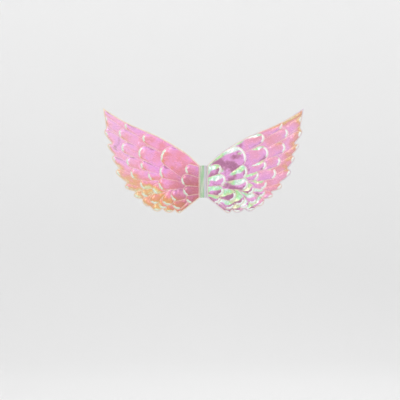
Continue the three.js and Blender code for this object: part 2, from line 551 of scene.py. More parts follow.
def settle(made, pinned):
    """Runs the cloth and keeps its result in the mesh."""
    pins = made.vertex_groups.new(name="pressed lines")
    pins.add([int(i) for i in np.flatnonzero(pinned)], 1.0, "REPLACE")
    before = vectors_of(made.data.vertices, "co")
    cloth = made.modifiers.new("settle", "CLOTH")
    for setting, value in CLOTH.items():
        setattr(cloth.settings, setting, value)
    cloth.settings.vertex_group_mass = pins.name
    cloth.settings.effector_weights.gravity = 0
    cloth.collision_settings.use_collision = False
    cloth.point_cache.frame_end = SETTLE_FRAMES
    scene = bpy.context.scene
    for number in range(1, SETTLE_FRAMES + 1):
        scene.frame_set(number)
    shape = made.evaluated_get(bpy.context.evaluated_depsgraph_get())
    after = vectors_of(shape.data.vertices, "co")
    made.modifiers.remove(cloth)
    scene.frame_set(1)
    move = after - before
    move = blurred(made, np.where(pinned[:, None], 0, move), 3, pinned)
    move[:, 1] = np.minimum(move[:, 1], SINK_CAP)
    length = np.linalg.norm(move, axis=1, keepdims=True)
    move *= np.minimum(1, SWELL_CAP / np.maximum(length, 1e-9))
    made.data.vertices.foreach_set("co", (before + move).ravel())
    made.data.update()
    made.vertex_groups.clear()


def laid_sheet(name, net, side, heights):
    """A net at its heights, in the place of the left (-1) or right (1) wing."""
    points = np.stack([side * net.points[:, 0], SEAM_Y + heights, net.points[:, 1]], axis=1)
    faces = [f if side > 0 else f[::-1] for f in net.faces]
    return piece(name, points, faces)


print("cloth is", "simulated")

# %% [markdown]
# ## Shader helpers
# A finish is a small tree of nodes. Effects that several finishes share are node groups,
# built once: a weave, a slow drift of colour, and fine creases. Each finish places them
# with its own values.

# %% Node helpers
def add(tree, kind, **values):
    """A new node with its properties set. Its inputs are a dictionary of sockets."""
    node = tree.nodes.new(kind)
    for key, value in values.items():
        if key == "inputs":
            for socket, setting in value.items():
                node.inputs[socket].default_value = setting
        else:
            setattr(node, key, value)
    return node


def calculate(tree, operation, first, second=None, third=None):
    """A Math node. Each operand is a number or another node's output."""
    node = add(tree, "ShaderNodeMath", operation=operation)
    for socket, value in zip(node.inputs, (first, second, third)):
        if isinstance(value, (int, float)):
            socket.default_value = value
        elif value is not None:
            tree.links.new(value, socket)
    return node.outputs[0]


def mixed(tree, share, first, second):
    """A colour mix. The share and the colours are values or outputs."""
    node = add(tree, "ShaderNodeMix", data_type="RGBA")
    for number, value in ((0, share), (6, first), (7, second)):  # the sockets for colours
        if isinstance(value, (int, float, tuple)):
            node.inputs[number].default_value = value
        else:
            tree.links.new(value, node.inputs[number])
    return node.outputs[2]


def between(tree, value, low, high):
    """The same smooth rise as above, worked out by the material."""
    node = add(tree, "ShaderNodeMapRange", interpolation_type="SMOOTHSTEP")
    node.inputs["From Min"].default_value = low
    node.inputs["From Max"].default_value = high
    tree.links.new(value, node.inputs["Value"])
    return node.outputs["Result"]


def read(tree, name, output="Fac"):
    """A value that the mesh keeps on its points."""
    return add(tree, "ShaderNodeAttribute", attribute_name=name).outputs[output]


def object_place(tree):
    """Where a point lies on its piece, in metres."""
    return add(tree, "ShaderNodeTexCoord").outputs["Object"]


def axes_of(tree, vector):
    """A vector's X, Y and Z outputs."""
    node = add(tree, "ShaderNodeSeparateXYZ")
    tree.links.new(vector, node.inputs[0])
    return node.outputs


def shader_group(name, inputs, outputs):
    """An empty node group with named sockets, and its two ends."""
    tree = bpy.data.node_groups.new(name, "ShaderNodeTree")
    kinds = {"value": "NodeSocketFloat", "colour": "NodeSocketColor", "vector": "NodeSocketVector"}
    for label, kind in inputs.items():
        tree.interface.new_socket(label, in_out="INPUT", socket_type=kinds[kind])
    for label, kind in outputs.items():
        tree.interface.new_socket(label, in_out="OUTPUT", socket_type=kinds[kind])
    return tree, add(tree, "NodeGroupInput"), add(tree, "NodeGroupOutput")


def placed(tree, group, **settings):
    """Puts a node group in a tree. Underscores in a setting's name stand for spaces."""
    node = add(tree, "ShaderNodeGroup", node_tree=group)
    for label, value in settings.items():
        socket = node.inputs[label.replace("_", " ")]
        if isinstance(value, (int, float, tuple)):
            socket.default_value = value
        else:
            tree.links.new(value, socket)
    return node


def finish(name, roughness, metallic=0.0, coat=0.0, coat_roughness=0.1, sheen=0.0):
    """A new material, its tree and its shader."""
    made = bpy.data.materials.new(name)
    made.use_nodes = True
    tree = made.node_tree
    shader = tree.nodes["Principled BSDF"]
    shader.inputs["Roughness"].default_value = roughness
    shader.inputs["Metallic"].default_value = metallic
    shader.inputs["Coat Weight"].default_value = coat
    shader.inputs["Coat Roughness"].default_value = coat_roughness
    shader.inputs["Sheen Weight"].default_value = sheen
    return made, tree, shader


def bumped(tree, shader, height, distance, strength):
    """Raises the surface's light and shade by a height, over a distance in metres."""
    bump = add(tree, "ShaderNodeBump", inputs={"Strength": strength, "Distance": distance})
    tree.links.new(height, bump.inputs["Height"])
    tree.links.new(bump.outputs["Normal"], shader.inputs["Normal"])


print("node helpers ready")

# %% [markdown]
# ### Shared effects
# *Woven threads* crosses two sets of ridges and lets a checker decide which passes over.
# *Drifting colour* mixes two shades with slow noise, as dye and light do on real cloth.
# *Fine creases* is noise that is drawn out in one direction.

# %% Node groups
def build_weave():
    tree, start, end = shader_group(
        "woven threads",
        {"Vector": "vector", "Threads per mm": "value"},
        {"Height": "value", "Gaps": "value"},
    )
    scaled = add(tree, "ShaderNodeVectorMath", operation="SCALE")
    tree.links.new(start.outputs["Vector"], scaled.inputs[0])
    per_metre = calculate(tree, "MULTIPLY", start.outputs["Threads per mm"], 1000.0)
    tree.links.new(per_metre, scaled.inputs["Scale"])
    axes = axes_of(tree, scaled.outputs["Vector"])
    ridges = []
    for axis in ("X", "Y"):
        turned = calculate(tree, "MULTIPLY", axes[axis], math.pi)
        wave = calculate(tree, "SINE", turned)
        ridges.append(calculate(tree, "ABSOLUTE", wave))
    check = add(tree, "ShaderNodeTexChecker", inputs={"Scale": 1.0})
    tree.links.new(scaled.outputs["Vector"], check.inputs["Vector"])
    over = calculate(tree, "MULTIPLY", ridges[0], check.outputs["Fac"])
    other = calculate(tree, "SUBTRACT", 1.0, check.outputs["Fac"])
    under = calculate(tree, "MULTIPLY", ridges[1], other)
    height = calculate(tree, "ADD", over, under)
    tree.links.new(height, end.inputs["Height"])
    tree.links.new(calculate(tree, "SUBTRACT", 1.0, height), end.inputs["Gaps"])
    return tree


def build_drift():
    tree, start, end = shader_group(
        "drifting colour",
        {"Vector": "vector", "First": "colour", "Second": "colour", "Patch": "value"},
        {"Color": "colour", "Fac": "value"},
    )
    cloud = add(tree, "ShaderNodeTexNoise", inputs={"Detail": 3.0, "Roughness": 0.55})
    tree.links.new(start.outputs["Vector"], cloud.inputs["Vector"])
    patches = calculate(tree, "DIVIDE", 1.0, start.outputs["Patch"])
    tree.links.new(patches, cloud.inputs["Scale"])
    share = between(tree, cloud.outputs["Fac"], 0.38, 0.62)
    colour = mixed(tree, share, start.outputs["First"], start.outputs["Second"])
    tree.links.new(colour, end.inputs["Color"])
    tree.links.new(share, end.inputs["Fac"])
    return tree


def build_creases():
    tree, start, end = shader_group(
        "fine creases",
        {"Vector": "vector", "Stretch": "vector", "Scale": "value"},
        {"Height": "value"},
    )
    drawn = add(tree, "ShaderNodeVectorMath", operation="MULTIPLY")
    tree.links.new(start.outputs["Vector"], drawn.inputs[0])
    tree.links.new(start.outputs["Stretch"], drawn.inputs[1])
    folds = add(tree, "ShaderNodeTexNoise", inputs={"Detail": 2.0, "Distortion": 0.6})
    tree.links.new(drawn.outputs["Vector"], folds.inputs["Vector"])
    tree.links.new(start.outputs["Scale"], folds.inputs["Scale"])
    ridge = calculate(tree, "SUBTRACT", folds.outputs["Fac"], 0.5)
    tree.links.new(calculate(tree, "ABSOLUTE", ridge), end.inputs["Height"])
    return tree


WEAVE, DRIFT, CREASES = build_weave(), build_drift(), build_creases()
UPRIGHT = (math.radians(90), 0, 0)  # the weave lies flat, so it is turned to upright cloth


def woven(tree, place, threads, stretch=(1.0, 1.0, 1.0)):
    """The weave on upright cloth, with a number of threads to the millimetre."""
    turned = add(tree, "ShaderNodeMapping", inputs={"Rotation": UPRIGHT, "Scale": stretch})
    tree.links.new(place, turned.inputs["Vector"])
    return placed(tree, WEAVE, Vector=turned.outputs["Vector"], Threads_per_mm=threads)


print("groups:", WEAVE.name, "/", DRIFT.name, "/", CREASES.name)

# %% [markdown]
# ### The film
# The front is an iridescent film. By the way it leans to the light it runs through one
# fixed order of colours: mauve, pink, lilac, coral, peach, gold, cream, green, mint and
# white. A shader that painted this by the camera would slide over the wings in other views.
# So each point of the mesh keeps its place in that order, from 0 to 1, and the finish looks
# the colour up, with a little drift of its own. Three more values say how far the point has
# turned to mint, how much painted highlight it glints with, and how near it is to a pressed line.

# %% Film finish
FILM_ORDER = [
    (0.00, tint(176, 96, 144)),  # mauve
    (0.08, tint(206, 130, 174)),  # dusty pink
    (0.15, tint(238, 160, 226)),  # lilac
    (0.28, tint(248, 164, 208)),  # pink
    (0.45, tint(242, 150, 168)),  # coral
    (0.58, tint(232, 158, 106)),  # peach
    (0.67, tint(226, 178, 108)),  # gold
    (0.75, tint(232, 226, 180)),  # pale cream
    (0.83, tint(172, 236, 156)),  # green
    (0.91, tint(198, 240, 214)),  # pale mint
    (0.98, tint(250, 252, 250)),  # white
]
CREAM = tint(240, 216, 196)
# Rose is painted shade on the left wing, near the spine.
PAINTED_SHADE_ROSE = tint(180, 98, 110)
# Pale pink is painted light towards the outer feathers.
PAINTED_LIGHT_PINK = tint(255, 236, 246)
# Grey is painted shade over the right wing.
PAINTED_SHADE_GREY = tint(168, 176, 188)
BLACK, WHITE = (0, 0, 0, 1), (1, 1, 1, 1)
# The colours of the painted highlights at the feather tips.
PAINTED_HIGHLIGHT_MINT = tint(228, 246, 230)
PAINTED_HIGHLIGHT_WHITE = tint(246, 252, 246)


def build_film_colours():
    tree, start, end = shader_group("film colours", {"Order": "value"}, {"Color": "colour"})
    ramp = add(tree, "ShaderNodeValToRGB")
    stops = ramp.color_ramp.elements
    while len(stops) < len(FILM_ORDER):
        stops.new(1.0)
    for stop, (place, colour) in zip(stops, FILM_ORDER):
        stop.position = place
        stop.color = colour
    tree.links.new(start.outputs["Order"], ramp.inputs["Fac"])
    tree.links.new(ramp.outputs["Color"], end.inputs["Color"])
    return tree


FILM_COLOURS = build_film_colours()


def film_finish(name, is_left_wing):
    """A pearly film with painted light and shade. Painted shade turns the left wing rose towards
    the spine, painted light makes both wings paler towards their tips, painted shade greys the
    right wing, and painted highlights glint at the feather tips.
    """
    made, tree, shader = finish(name, 0.28, metallic=0.22, coat=0.7, coat_roughness=0.1)
    place = object_place(tree)
    axes = axes_of(tree, place)
    drift = placed(tree, DRIFT, Vector=place, First=BLACK, Second=WHITE, Patch=22 * MM)
    fine = add(tree, "ShaderNodeTexNoise", inputs={"Scale": 420.0, "Detail": 2.0})
    tree.links.new(place, fine.inputs["Vector"])
    order = calculate(tree, "MULTIPLY_ADD", drift.outputs["Fac"], 0.17, -0.13)
    order = calculate(tree, "MULTIPLY_ADD", fine.outputs["Fac"], 0.1, order)
    order = calculate(tree, "ADD", order, read(tree, "order"))
    colour = placed(tree, FILM_COLOURS, Order=order).outputs["Color"]
    mint = calculate(tree, "MULTIPLY_ADD", drift.outputs["Fac"], 0.2, 0.71)
    mint = calculate(tree, "MULTIPLY_ADD", fine.outputs["Fac"], 0.1, mint)
    mint = placed(tree, FILM_COLOURS, Order=mint).outputs["Color"]
    colour = mixed(tree, read(tree, "mint"), colour, mint)
    # Painted shade: on the left wing the film turns rose and darker towards the spine, low down.
    if is_left_wing:
        inwards = between(tree, axes["X"], -85 * MM, -20 * MM)
        low = between(tree, axes["Z"], 45 * MM, -5 * MM)
        shade = calculate(tree, "MULTIPLY", inwards, low)
        colour = mixed(tree, calculate(tree, "MULTIPLY", shade, 0.75), colour, PAINTED_SHADE_ROSE)
    # Painted light: the film turns paler pink towards the outer feathers, more on the left wing.
    outer = between(tree, calculate(tree, "ABSOLUTE", axes["X"]), 70 * MM, 190 * MM)
    painted_light_share = calculate(tree, "MULTIPLY", outer, 0.28 if is_left_wing else 0.1)
    colour = mixed(tree, painted_light_share, colour, PAINTED_LIGHT_PINK)
    # Painted shade: the right wing's film is dulled with grey all over.
    if not is_left_wing:
        colour = mixed(tree, 0.12, colour, PAINTED_SHADE_GREY)
    # Painted highlight: the glints at the feather tips, mint on the left wing and near white on the
    # right.
    colour = mixed(tree, read(tree, "glint"), colour, PAINTED_HIGHLIGHT_MINT if is_left_wing else PAINTED_HIGHLIGHT_WHITE)
    line = calculate(tree, "MULTIPLY", read(tree, "press"), 0.8)
    colour = mixed(tree, line, colour, CREAM)
    tree.links.new(colour, shader.inputs["Base Color"])
    creases = placed(tree, CREASES, Vector=place, Stretch=(1.0, 1.0, 2.0), Scale=130.0)
    gloss = calculate(tree, "MULTIPLY_ADD", creases.outputs["Height"], 0.5, 0.2)
    gloss = calculate(tree, "MULTIPLY_ADD", line, 0.25, gloss)
    tree.links.new(gloss, shader.inputs["Roughness"])
    bumped(tree, shader, creases.outputs["Height"], 0.5 * MM, 0.6)
    return made


FILM_FINISH = {-1: film_finish("left wing film", True), 1: film_finish("right wing film", False)}
print("film finishes:", [m.name for m in FILM_FINISH.values()])

# %% [markdown]
# ### The front of each wing
# The heights are laid on the net, the cloth is settled, and then the values that the
# finish reads are measured on the settled surface. A Solidify modifier gives the film its
# thickness, towards the wadding.

# %% Wing fronts
SIDES = {"left": -1, "right": 1}
FILM_THICK = 0.3 * MM
FRONT_PRESSED = 0.8 * MM  # from the seam plane to the pressed lines in front
FRONT_SEED = 3.0  # the front's crinkles, times the side
LEAN_BLUR = 4  # rounds that even out the lean inside each feather
BROAD_BLUR = {-1: 0, 1: 30}  # further rounds, for the right wing's broad patches
LEAN_TOWARDS = {-1: (0.6, 0.8), 1: (-0.45, 0.9)}  # the way to lean, across and up
# A glint, a painted highlight, starts and ends between two values. The left wing's are under -1, the
# right's under 1.
GLINT_TURN = -0.5  # radians from the feather's heading to where it glints most
GLINT_SPREAD = {-1: (0.5, 0.85), 1: (0.2, 0.65)}  # how well the slope faces that way
GLINT_SLOPE = {-1: (0.12, 0.26), 1: (0.03, 0.12)}  # how steep it must be
GLINT_WIDTH = {-1: (2.6, 4.6), 1: (3.2, 5.2)}  # millimetres from the pressed line
GLINT_LENGTH = {-1: (4, 11), 1: (5, 13)}  # millimetres behind the tip


def puffed(net, pressed, rise, folds, fade):
    """Heights from the seam plane: the pressed level, the feathers' rise and their folds."""
    level = EDGE_HALF + (pressed - EDGE_HALF) * smooth(net.from_edge, 0, 6)
    return level + rise + folds * np.clip((net.from_line - PRESS_HALF) / fade, 0, 1)


def front_heights(net, seed):
    rise = (FRONT_RISE + 0.6 * MM - FRONT_PRESSED) * crown(net, 15) * tip_rise(net)
    return -puffed(net, FRONT_PRESSED, rise, 0.34 * MM * crinkle(net, seed), 3)


def own_shade(net, most):
    """Each feather's film is a little further on or back in its order of colours."""
    numbers = range(len(FEATHERS) + 1)
    shades = np.array([noise.noise(Vector((1.37 * n, 0.5, 2.0))) for n in numbers])
    return most * shades[net.which]


def left_order(net, out, up, lean):
    """Pink and lilac above, peach and gold in a broad band along the lower edge."""
    low = smooth(0.577 * out - 60 - up, -10, 12)
    tip = smooth(out, 110, 175)
    rim = 1 - smooth(net.from_edge, 1.5, 5)
    order = 0.34 + 0.3 * low - 0.14 * tip + 0.1 * rim * (0.2 + tip)
    order = order - (0.4 - 0.25 * low) * lean + own_shade(net, 0.16) * (1 - 0.7 * low)
    return np.clip(order, 0.1, 0.69), np.zeros(len(order))


def near_spine(out, up):
    """From 1 beside the spine to 0 in the outer feathers; it reaches further low down."""
    reach = out - 0.35 * np.maximum(10 - up, 0) + 0.3 * np.maximum(up - 40, 0)
    return 1 - smooth(reach, 62, 116)


def right_order(net, out, up, lean):
    """Mauve to coral, turned green wherever a feather leans up most near the spine."""
    inner = near_spine(out, up)
    far = smooth(out, 95, 165)
    usual = np.quantile(lean[inner > 0.5], 0.62)
    enough = usual + 0.16 * (1 - inner) + 0.4 * far  # how steep a lean turns green here
    green = smooth(lean - enough, -0.035, 0.035)
    rim = (1 - smooth(net.from_edge, 1.5, 6)) * smooth(out, 80, 130)
    outermost = smooth(out, 120, 165) * (1 - smooth(net.from_edge, 4, 16))
    pinks = 0.29 - 0.2 * inner + 0.03 * far + 0.12 * rim + 0.18 * outermost
    pinks = pinks + (0.4 - 0.15 * inner) * lean
    return np.clip(pinks + own_shade(net, 0.07), 0.05, 0.62), green


def glint(net, normals, side):
    """A painted highlight: from 0 to 1 where a feather falls away steeply round the end of its tip.
    """
    headings = np.radians([spec[2] for spec in FEATHERS] + [0])[net.which]
    angles = headings + GLINT_TURN
    towards = np.stack([side * np.cos(angles), np.sin(angles)], axis=1)
    slope = np.linalg.norm(normals[:, [0, 2]], axis=1)
    facing = (normals[:, [0, 2]] * towards).sum(axis=1) / np.maximum(slope, 1e-6)
    spots = [Vector((x / 6, z / 6, 5.0 * side)) for x, z in net.points / MM]
    patchy = np.array([noise.noise(spot) for spot in spots])
    luck = np.array([noise.noise(Vector((1.37 * n, 0.5, side))) for n in net.which])
    near_tip = (1 - smooth(net.behind, *GLINT_LENGTH[side])) * (net.which >= 0)
    near_tip = near_tip * (1 - smooth(net.from_line, *GLINT_WIDTH[side]))
    steep = smooth(slope + 0.2 * patchy + 0.12 * luck, *GLINT_SLOPE[side])
    white = steep * smooth(facing + 0.3 * patchy, *GLINT_SPREAD[side]) * near_tip
    return smooth(white, 0.15, 0.8)


def measured_film(made, net, side):
    """Keeps on the mesh what the film's finish reads. The right wing's lean is broader."""
    normals = vectors_of(made.data.vertex_normals, "vector")
    if normals[:, 1].mean() > 0:
        normals = -normals
    normals = blurred(made, normals, LEAN_BLUR, net.which)
    broad = blurred(made, normals, BROAD_BLUR[side], net.which)
    broad = 0.8 * broad + 0.2 * normals
    out, up = net.points[:, 0] / MM, net.points[:, 1] / MM
    across, rise = LEAN_TOWARDS[side]
    lean = across * broad[:, 0] + rise * broad[:, 2]
    order, mint = (left_order if side < 0 else right_order)(net, out, up, lean)
    keep_values(made, "order", order)
    keep_values(made, "mint", mint)
    keep_values(made, "glint", glint(net, normals, side))
    keep_values(made, "press", net.firm**1.5 * (1 - smooth(net.from_line, 0.15, 0.95)))


FRONTS = {}
for side_name, side in SIDES.items():
    heights = front_heights(FINE_NET, FRONT_SEED * side)
    front = laid_sheet(side_name + "_wing_feathers", FINE_NET, side, heights)
    settle(front, FINE_NET.from_line < PRESS_HALF + 0.2)
    measured_film(front, FINE_NET, side)
    front.data.materials.append(FILM_FINISH[side])
    solid(front, FILM_THICK, -1)
    FRONTS[side_name] = front
    foremost = vectors_of(front.data.vertices, "co")[:, 1].min()
    print(front.name, "points", len(front.data.vertices), "y from", round(foremost / MM, 2))

# %% [markdown]
# ## The back of each wing
# The lining is a plain woven cloth. The press goes through to it, so the same feathers
# show on the back, but shallower, because the wadding is firmer towards the wearer. It is
# laid straight from the pressed lines, with broad soft folds and no simulation.

# %% Linings
def cloth_finish(name, first, second, threads, patch=0.03, depth=0.12):
    """A woven cloth: two drifting shades, threads with painted shade in the gaps between them, and a
    soft sheen.
    """
    made, tree, shader = finish(name, 0.85, sheen=0.3)
    place = object_place(tree)
    shades = placed(tree, DRIFT, Vector=place, First=first, Second=second, Patch=patch)
    weave = woven(tree, place, threads)
    # Painted shade: the gaps between threads are darkened with a darker copy of the cloth's first
    # colour.
    gaps = calculate(tree, "MULTIPLY", weave.outputs["Gaps"], 0.25)
    dark = tuple(0.45 * c for c in first[:3]) + (1.0,)
    colour = mixed(tree, gaps, shades.outputs["Color"], dark)
    tree.links.new(colour, shader.inputs["Base Color"])
    bumped(tree, shader, weave.outputs["Height"], depth * MM, 0.8)
    return made


LINING_FINISH = cloth_finish("wing lining", tint(240, 190, 212), tint(226, 170, 200), 2.2)
LINING_THICK = 0.35 * MM
BACK_PRESSED = 1.0 * MM  # from the seam plane to the pressed lines behind
BACK_SEED = 9.0  # the back's folds, times the side


def back_heights(net, seed):
    rise = (BACK_RISE + 0.2 * MM - BACK_PRESSED) * crown(net, 12) * (0.55 + 0.45 * tip_rise(net))
    return puffed(net, BACK_PRESSED, rise, 0.16 * MM * crinkle(net, seed), 4)


BACKS = {}
for side_name, side in SIDES.items():
    heights = back_heights(FINE_NET, BACK_SEED * side)
    back = laid_sheet(side_name + "_wing_back", FINE_NET, side, heights)
    back.data.flip_normals()
    back.data.materials.append(LINING_FINISH)
    solid(back, LINING_THICK, -1)
    BACKS[side_name] = back
print("linings:", [b.name for b in BACKS.values()])

# %% [markdown]
# ## The wadding
# Between the two sheets lies a thin sheet of wadding. Nobody sees it, but it is what
# rounds the feathers, and a wing that is cut or opened shows it. It is one closed form,
# a little inside the film and the lining, so a coarser net is enough.

# %% Wadding
WADDING_FINISH = cloth_finish(
    "polyester wadding", tint(250, 248, 246), tint(236, 234, 232), 0.7, depth=0.3,
)
WADDING_GAP = 0.3 * MM


def wadding(name, net, side):
    front = front_heights(net, FRONT_SEED * side) + FILM_THICK + WADDING_GAP
    back = back_heights(net, BACK_SEED * side) - LINING_THICK - WADDING_GAP
    front = np.minimum(front, -0.1 * MM)
    back = np.maximum(back, 0.1 * MM)
    flat = net.points * [side, 1]
    count = len(flat)
    layers = [np.stack([flat[:, 0], SEAM_Y + h, flat[:, 1]], axis=1) for h in (front, back)]
    faces = [list(f) for f in net.faces] + [[i + count for i in f[::-1]] for f in net.faces]
    faces += rim_faces(list(range(net.rim)), count)
    return recalculated(piece(name, np.concatenate(layers), faces, WADDING_FINISH))


WADDINGS = {n: wadding(n + "_wing_wadding", COARSE_NET, s) for n, s in SIDES.items()}
print("wadding points:", [len(w.data.vertices) for w in WADDINGS.values()])

# %% [markdown]
# ## The bound edge
# The edge of each wing is folded into a narrow tape and overlocked: a thread is wrapped
# over the edge in a close row of slanting stitches. The tape is swept round the outline
# with a rounded section. The thread is a repeat along a path, so Geometry Nodes place it:
# one bent stitch, copied at an even pitch and turned to follow the edge.

# %% Bound edge
EDGE_THREADS = 2.6  # to the millimetre
PALE_PEACH, DEEPER_PEACH = tint(250, 230, 206), tint(246, 216, 204)
PALE_LILAC, PALE_APRICOT = tint(236, 222, 232), tint(250, 228, 208)
EDGE_FINISH = {
    "left": cloth_finish("left edge tape", PALE_PEACH, DEEPER_PEACH, EDGE_THREADS, patch=0.02),
    "right": cloth_finish("right edge tape", PALE_LILAC, PALE_APRICOT, EDGE_THREADS),
}
EDGE_SECTION = [  # share of the way inwards, and height from the seam plane in edge halves
    (0.0, 0.0), (0.03, 0.5), (0.16, 0.9), (0.45, 1.08), (0.8, 1.1), (1.05, 0.95), (1.12, 0.6),
    (1.12, -0.6), (1.05, -0.95), (0.8, -1.1), (0.45, -1.08), (0.16, -0.9), (0.03, -0.5),
]


def edge_tape(name, side, material):
    points = []
    for spot, inwards in zip(EDGE, INWARDS):
        for share, level in EDGE_SECTION:
            x, z = spot + share * inwards
            points.append((side * x, SEAM_Y - level * EDGE_HALF, z))
    faces = tube_faces(len(EDGE), len(EDGE_SECTION), True)
    return recalculated(piece(name, points, faces, material))


EDGES = {n: edge_tape(n + "_wing_bound_edge", s, EDGE_FINISH[n]) for n, s in SIDES.items()}
print("bound edges:", [e.name for e in EDGES.values()])

# %% [markdown]
# ## Stitches
# Every row of stitches on the wings is one bent thread repeated along a line: the
# overlocking, the two rows on the spine, the tacks on the elastics and the label's hem.
# One Geometry Nodes tree makes them all. It copies a short bent tube along the line at an
# even pitch, turns each copy to the line and to the cloth's face, and varies its size a
# little, as a machine and a springy thread do.

# %% Stitch tree
STITCH_INPUTS = {
    "Pitch": "NodeSocketFloat",
    "Thread Radius": "NodeSocketFloat",
    "Stitch Start": "NodeSocketVector",
    "Start Handle": "NodeSocketVector",
    "End Handle": "NodeSocketVector",
    "Stitch End": "NodeSocketVector",
    "Front": "NodeSocketVector",
    "Looseness": "NodeSocketFloat",
    "Seed": "NodeSocketInt",
    "Material": "NodeSocketMaterial",
}


def build_stitch_tree():
    tree = bpy.data.node_groups.new("row of stitches", "GeometryNodeTree")
    tree.interface.new_socket("Line", in_out="INPUT", socket_type="NodeSocketGeometry")
    for label, kind in STITCH_INPUTS.items():
        tree.interface.new_socket(label, in_out="INPUT", socket_type=kind)
    tree.interface.new_socket("Stitches", in_out="OUTPUT", socket_type="NodeSocketGeometry")
    start, end = add(tree, "NodeGroupInput"), add(tree, "NodeGroupOutput")
    join = tree.links.new
    spaced = add(tree, "GeometryNodeResampleCurve", mode="LENGTH")
    join(start.outputs["Line"], spaced.inputs["Curve"])
    join(start.outputs["Pitch"], spaced.inputs["Length"])
    bend = add(tree, "GeometryNodeCurvePrimitiveBezierSegment", inputs={"Resolution": 7})
    for label, socket in (("Stitch Start", "Start"), ("Start Handle", "Start Handle"),
                          ("End Handle", "End Handle"), ("Stitch End", "End")):
        join(start.outputs[label], bend.inputs[socket])
    section = add(tree, "GeometryNodeCurvePrimitiveCircle", inputs={"Resolution": 5})
    join(start.outputs["Thread Radius"], section.inputs["Radius"])
    thread = add(tree, "GeometryNodeCurveToMesh", inputs={"Fill Caps": True})
    join(bend.outputs["Curve"], thread.inputs["Curve"])
    join(section.outputs["Curve"], thread.inputs["Profile Curve"])
    along = add(tree, "FunctionNodeAlignRotationToVector", axis="X")
    join(add(tree, "GeometryNodeInputTangent").outputs[0], along.inputs["Vector"])
    upright = add(tree, "FunctionNodeAlignRotationToVector", axis="Z", pivot_axis="X")
    join(along.outputs[0], upright.inputs["Rotation"])
    join(start.outputs["Front"], upright.inputs["Vector"])
    chance = add(tree, "FunctionNodeRandomValue", data_type="FLOAT")
    least = add(tree, "ShaderNodeMath", operation="SUBTRACT", inputs={0: 1.0})
    join(start.outputs["Looseness"], least.inputs[1])
    most = add(tree, "ShaderNodeMath", operation="ADD", inputs={0: 1.0})
    join(start.outputs["Looseness"], most.inputs[1])
    join(least.outputs[0], chance.inputs[2])
    join(most.outputs[0], chance.inputs[3])
    join(start.outputs["Seed"], chance.inputs["Seed"])
    copies = add(tree, "GeometryNodeInstanceOnPoints")
    join(spaced.outputs["Curve"], copies.inputs["Points"])
    join(thread.outputs["Mesh"], copies.inputs["Instance"])
    join(upright.outputs[0], copies.inputs["Rotation"])
    join(chance.outputs[1], copies.inputs["Scale"])
    real = add(tree, "GeometryNodeRealizeInstances")
    join(copies.outputs["Instances"], real.inputs[0])
    painted = add(tree, "GeometryNodeSetMaterial")
    join(real.outputs[0], painted.inputs["Geometry"])
    join(start.outputs["Material"], painted.inputs["Material"])
    join(painted.outputs["Geometry"], end.inputs["Stitches"])
    return tree


STITCH_TREE = build_stitch_tree()
print("stitch tree nodes:", len(STITCH_TREE.nodes))

# %% [markdown]
# A stitch is the same at both ends, so its first half is given and the second mirrors it.
# An overlock stitch wraps round the edge. It starts on the wing's front and ends on its
# back, so its second half swaps front and back too.

# %% Rows of stitches
FORWARD, BACKWARD = (0.0, -1.0, 0.0), (0.0, 1.0, 0.0)


def stitch(pitch, radius, start, handle, looseness, mirror=(-1, 1, 1)):
    """The settings of one kind of stitch. Its sizes are in millimetres."""
    end, end_handle = np.multiply(start, mirror), np.multiply(handle, mirror)
    return {
        "Pitch": pitch * MM,
        "Thread Radius": radius * MM,
        "Stitch Start": tuple(float(v) * MM for v in start),
        "Start Handle": tuple(float(v) * MM for v in handle),
        "End Handle": tuple(float(v) * MM for v in end_handle),
        "Stitch End": tuple(float(v) * MM for v in end),
        "Looseness": looseness,
    }


def sewn(name, lines, closed, **settings):
    """Stitches along lines of points in metres, as one plain mesh."""
    path = bpy.data.curves.new(name + " path", "CURVE")
    path.dimensions = "3D"
    for line in lines:
        spline = path.splines.new("POLY")
        spline.points.add(len(line) - 1)
        spline.points.foreach_set("co", np.insert(np.array(line, float), 3, 1, axis=1).ravel())
        spline.use_cyclic_u = closed
    carrier = bpy.data.objects.new(name + " path", path)
    bpy.context.scene.collection.objects.link(carrier)
    row = carrier.modifiers.new("stitches", "NODES")
    row.node_group = STITCH_TREE
    for item in STITCH_TREE.interface.items_tree:
        if item.in_out == "INPUT" and item.name in settings:
            row[item.identifier] = settings[item.name]
    carrier.update_tag()
    bpy.context.view_layer.update()
    shape = carrier.evaluated_get(bpy.context.evaluated_depsgraph_get())
    mesh = bpy.data.meshes.new_from_object(shape)
    carrier.modifiers.remove(row)
    bpy.data.objects.remove(carrier)
    mesh.name = name
    mesh.polygons.foreach_set("use_smooth", [True] * len(mesh.polygons))
    made = bpy.data.objects.new(name, mesh)
    bpy.context.scene.collection.objects.link(made)
    return made


def thread_finish(name, colour):
    """Spun thread: a soft shine and a fine twist."""
    made, tree, shader = finish(name, 0.5, sheen=0.2)
    place = object_place(tree)
    pale = tuple(min(1.0, 1.15 * c) for c in colour[:3]) + (1.0,)
    shades = placed(tree, DRIFT, Vector=place, First=colour, Second=pale, Patch=0.004)
    twist = placed(tree, CREASES, Vector=place, Stretch=(1.0, 1.0, 1.0), Scale=2500.0)
    tree.links.new(shades.outputs["Color"], shader.inputs["Base Color"])
    bumped(tree, shader, twist.outputs["Height"], 0.1 * MM, 0.5)
    return made


CREAM_THREAD = thread_finish("cream thread", tint(244, 226, 204))
LILAC_THREAD = thread_finish("pale lilac thread", tint(226, 214, 228))
OVERLOCK = stitch(1.35, 0.16, (-0.45, 2.2, 0.8), (-0.3, -1.25, 1.28), 0.07, mirror=(-1, 1, -1))


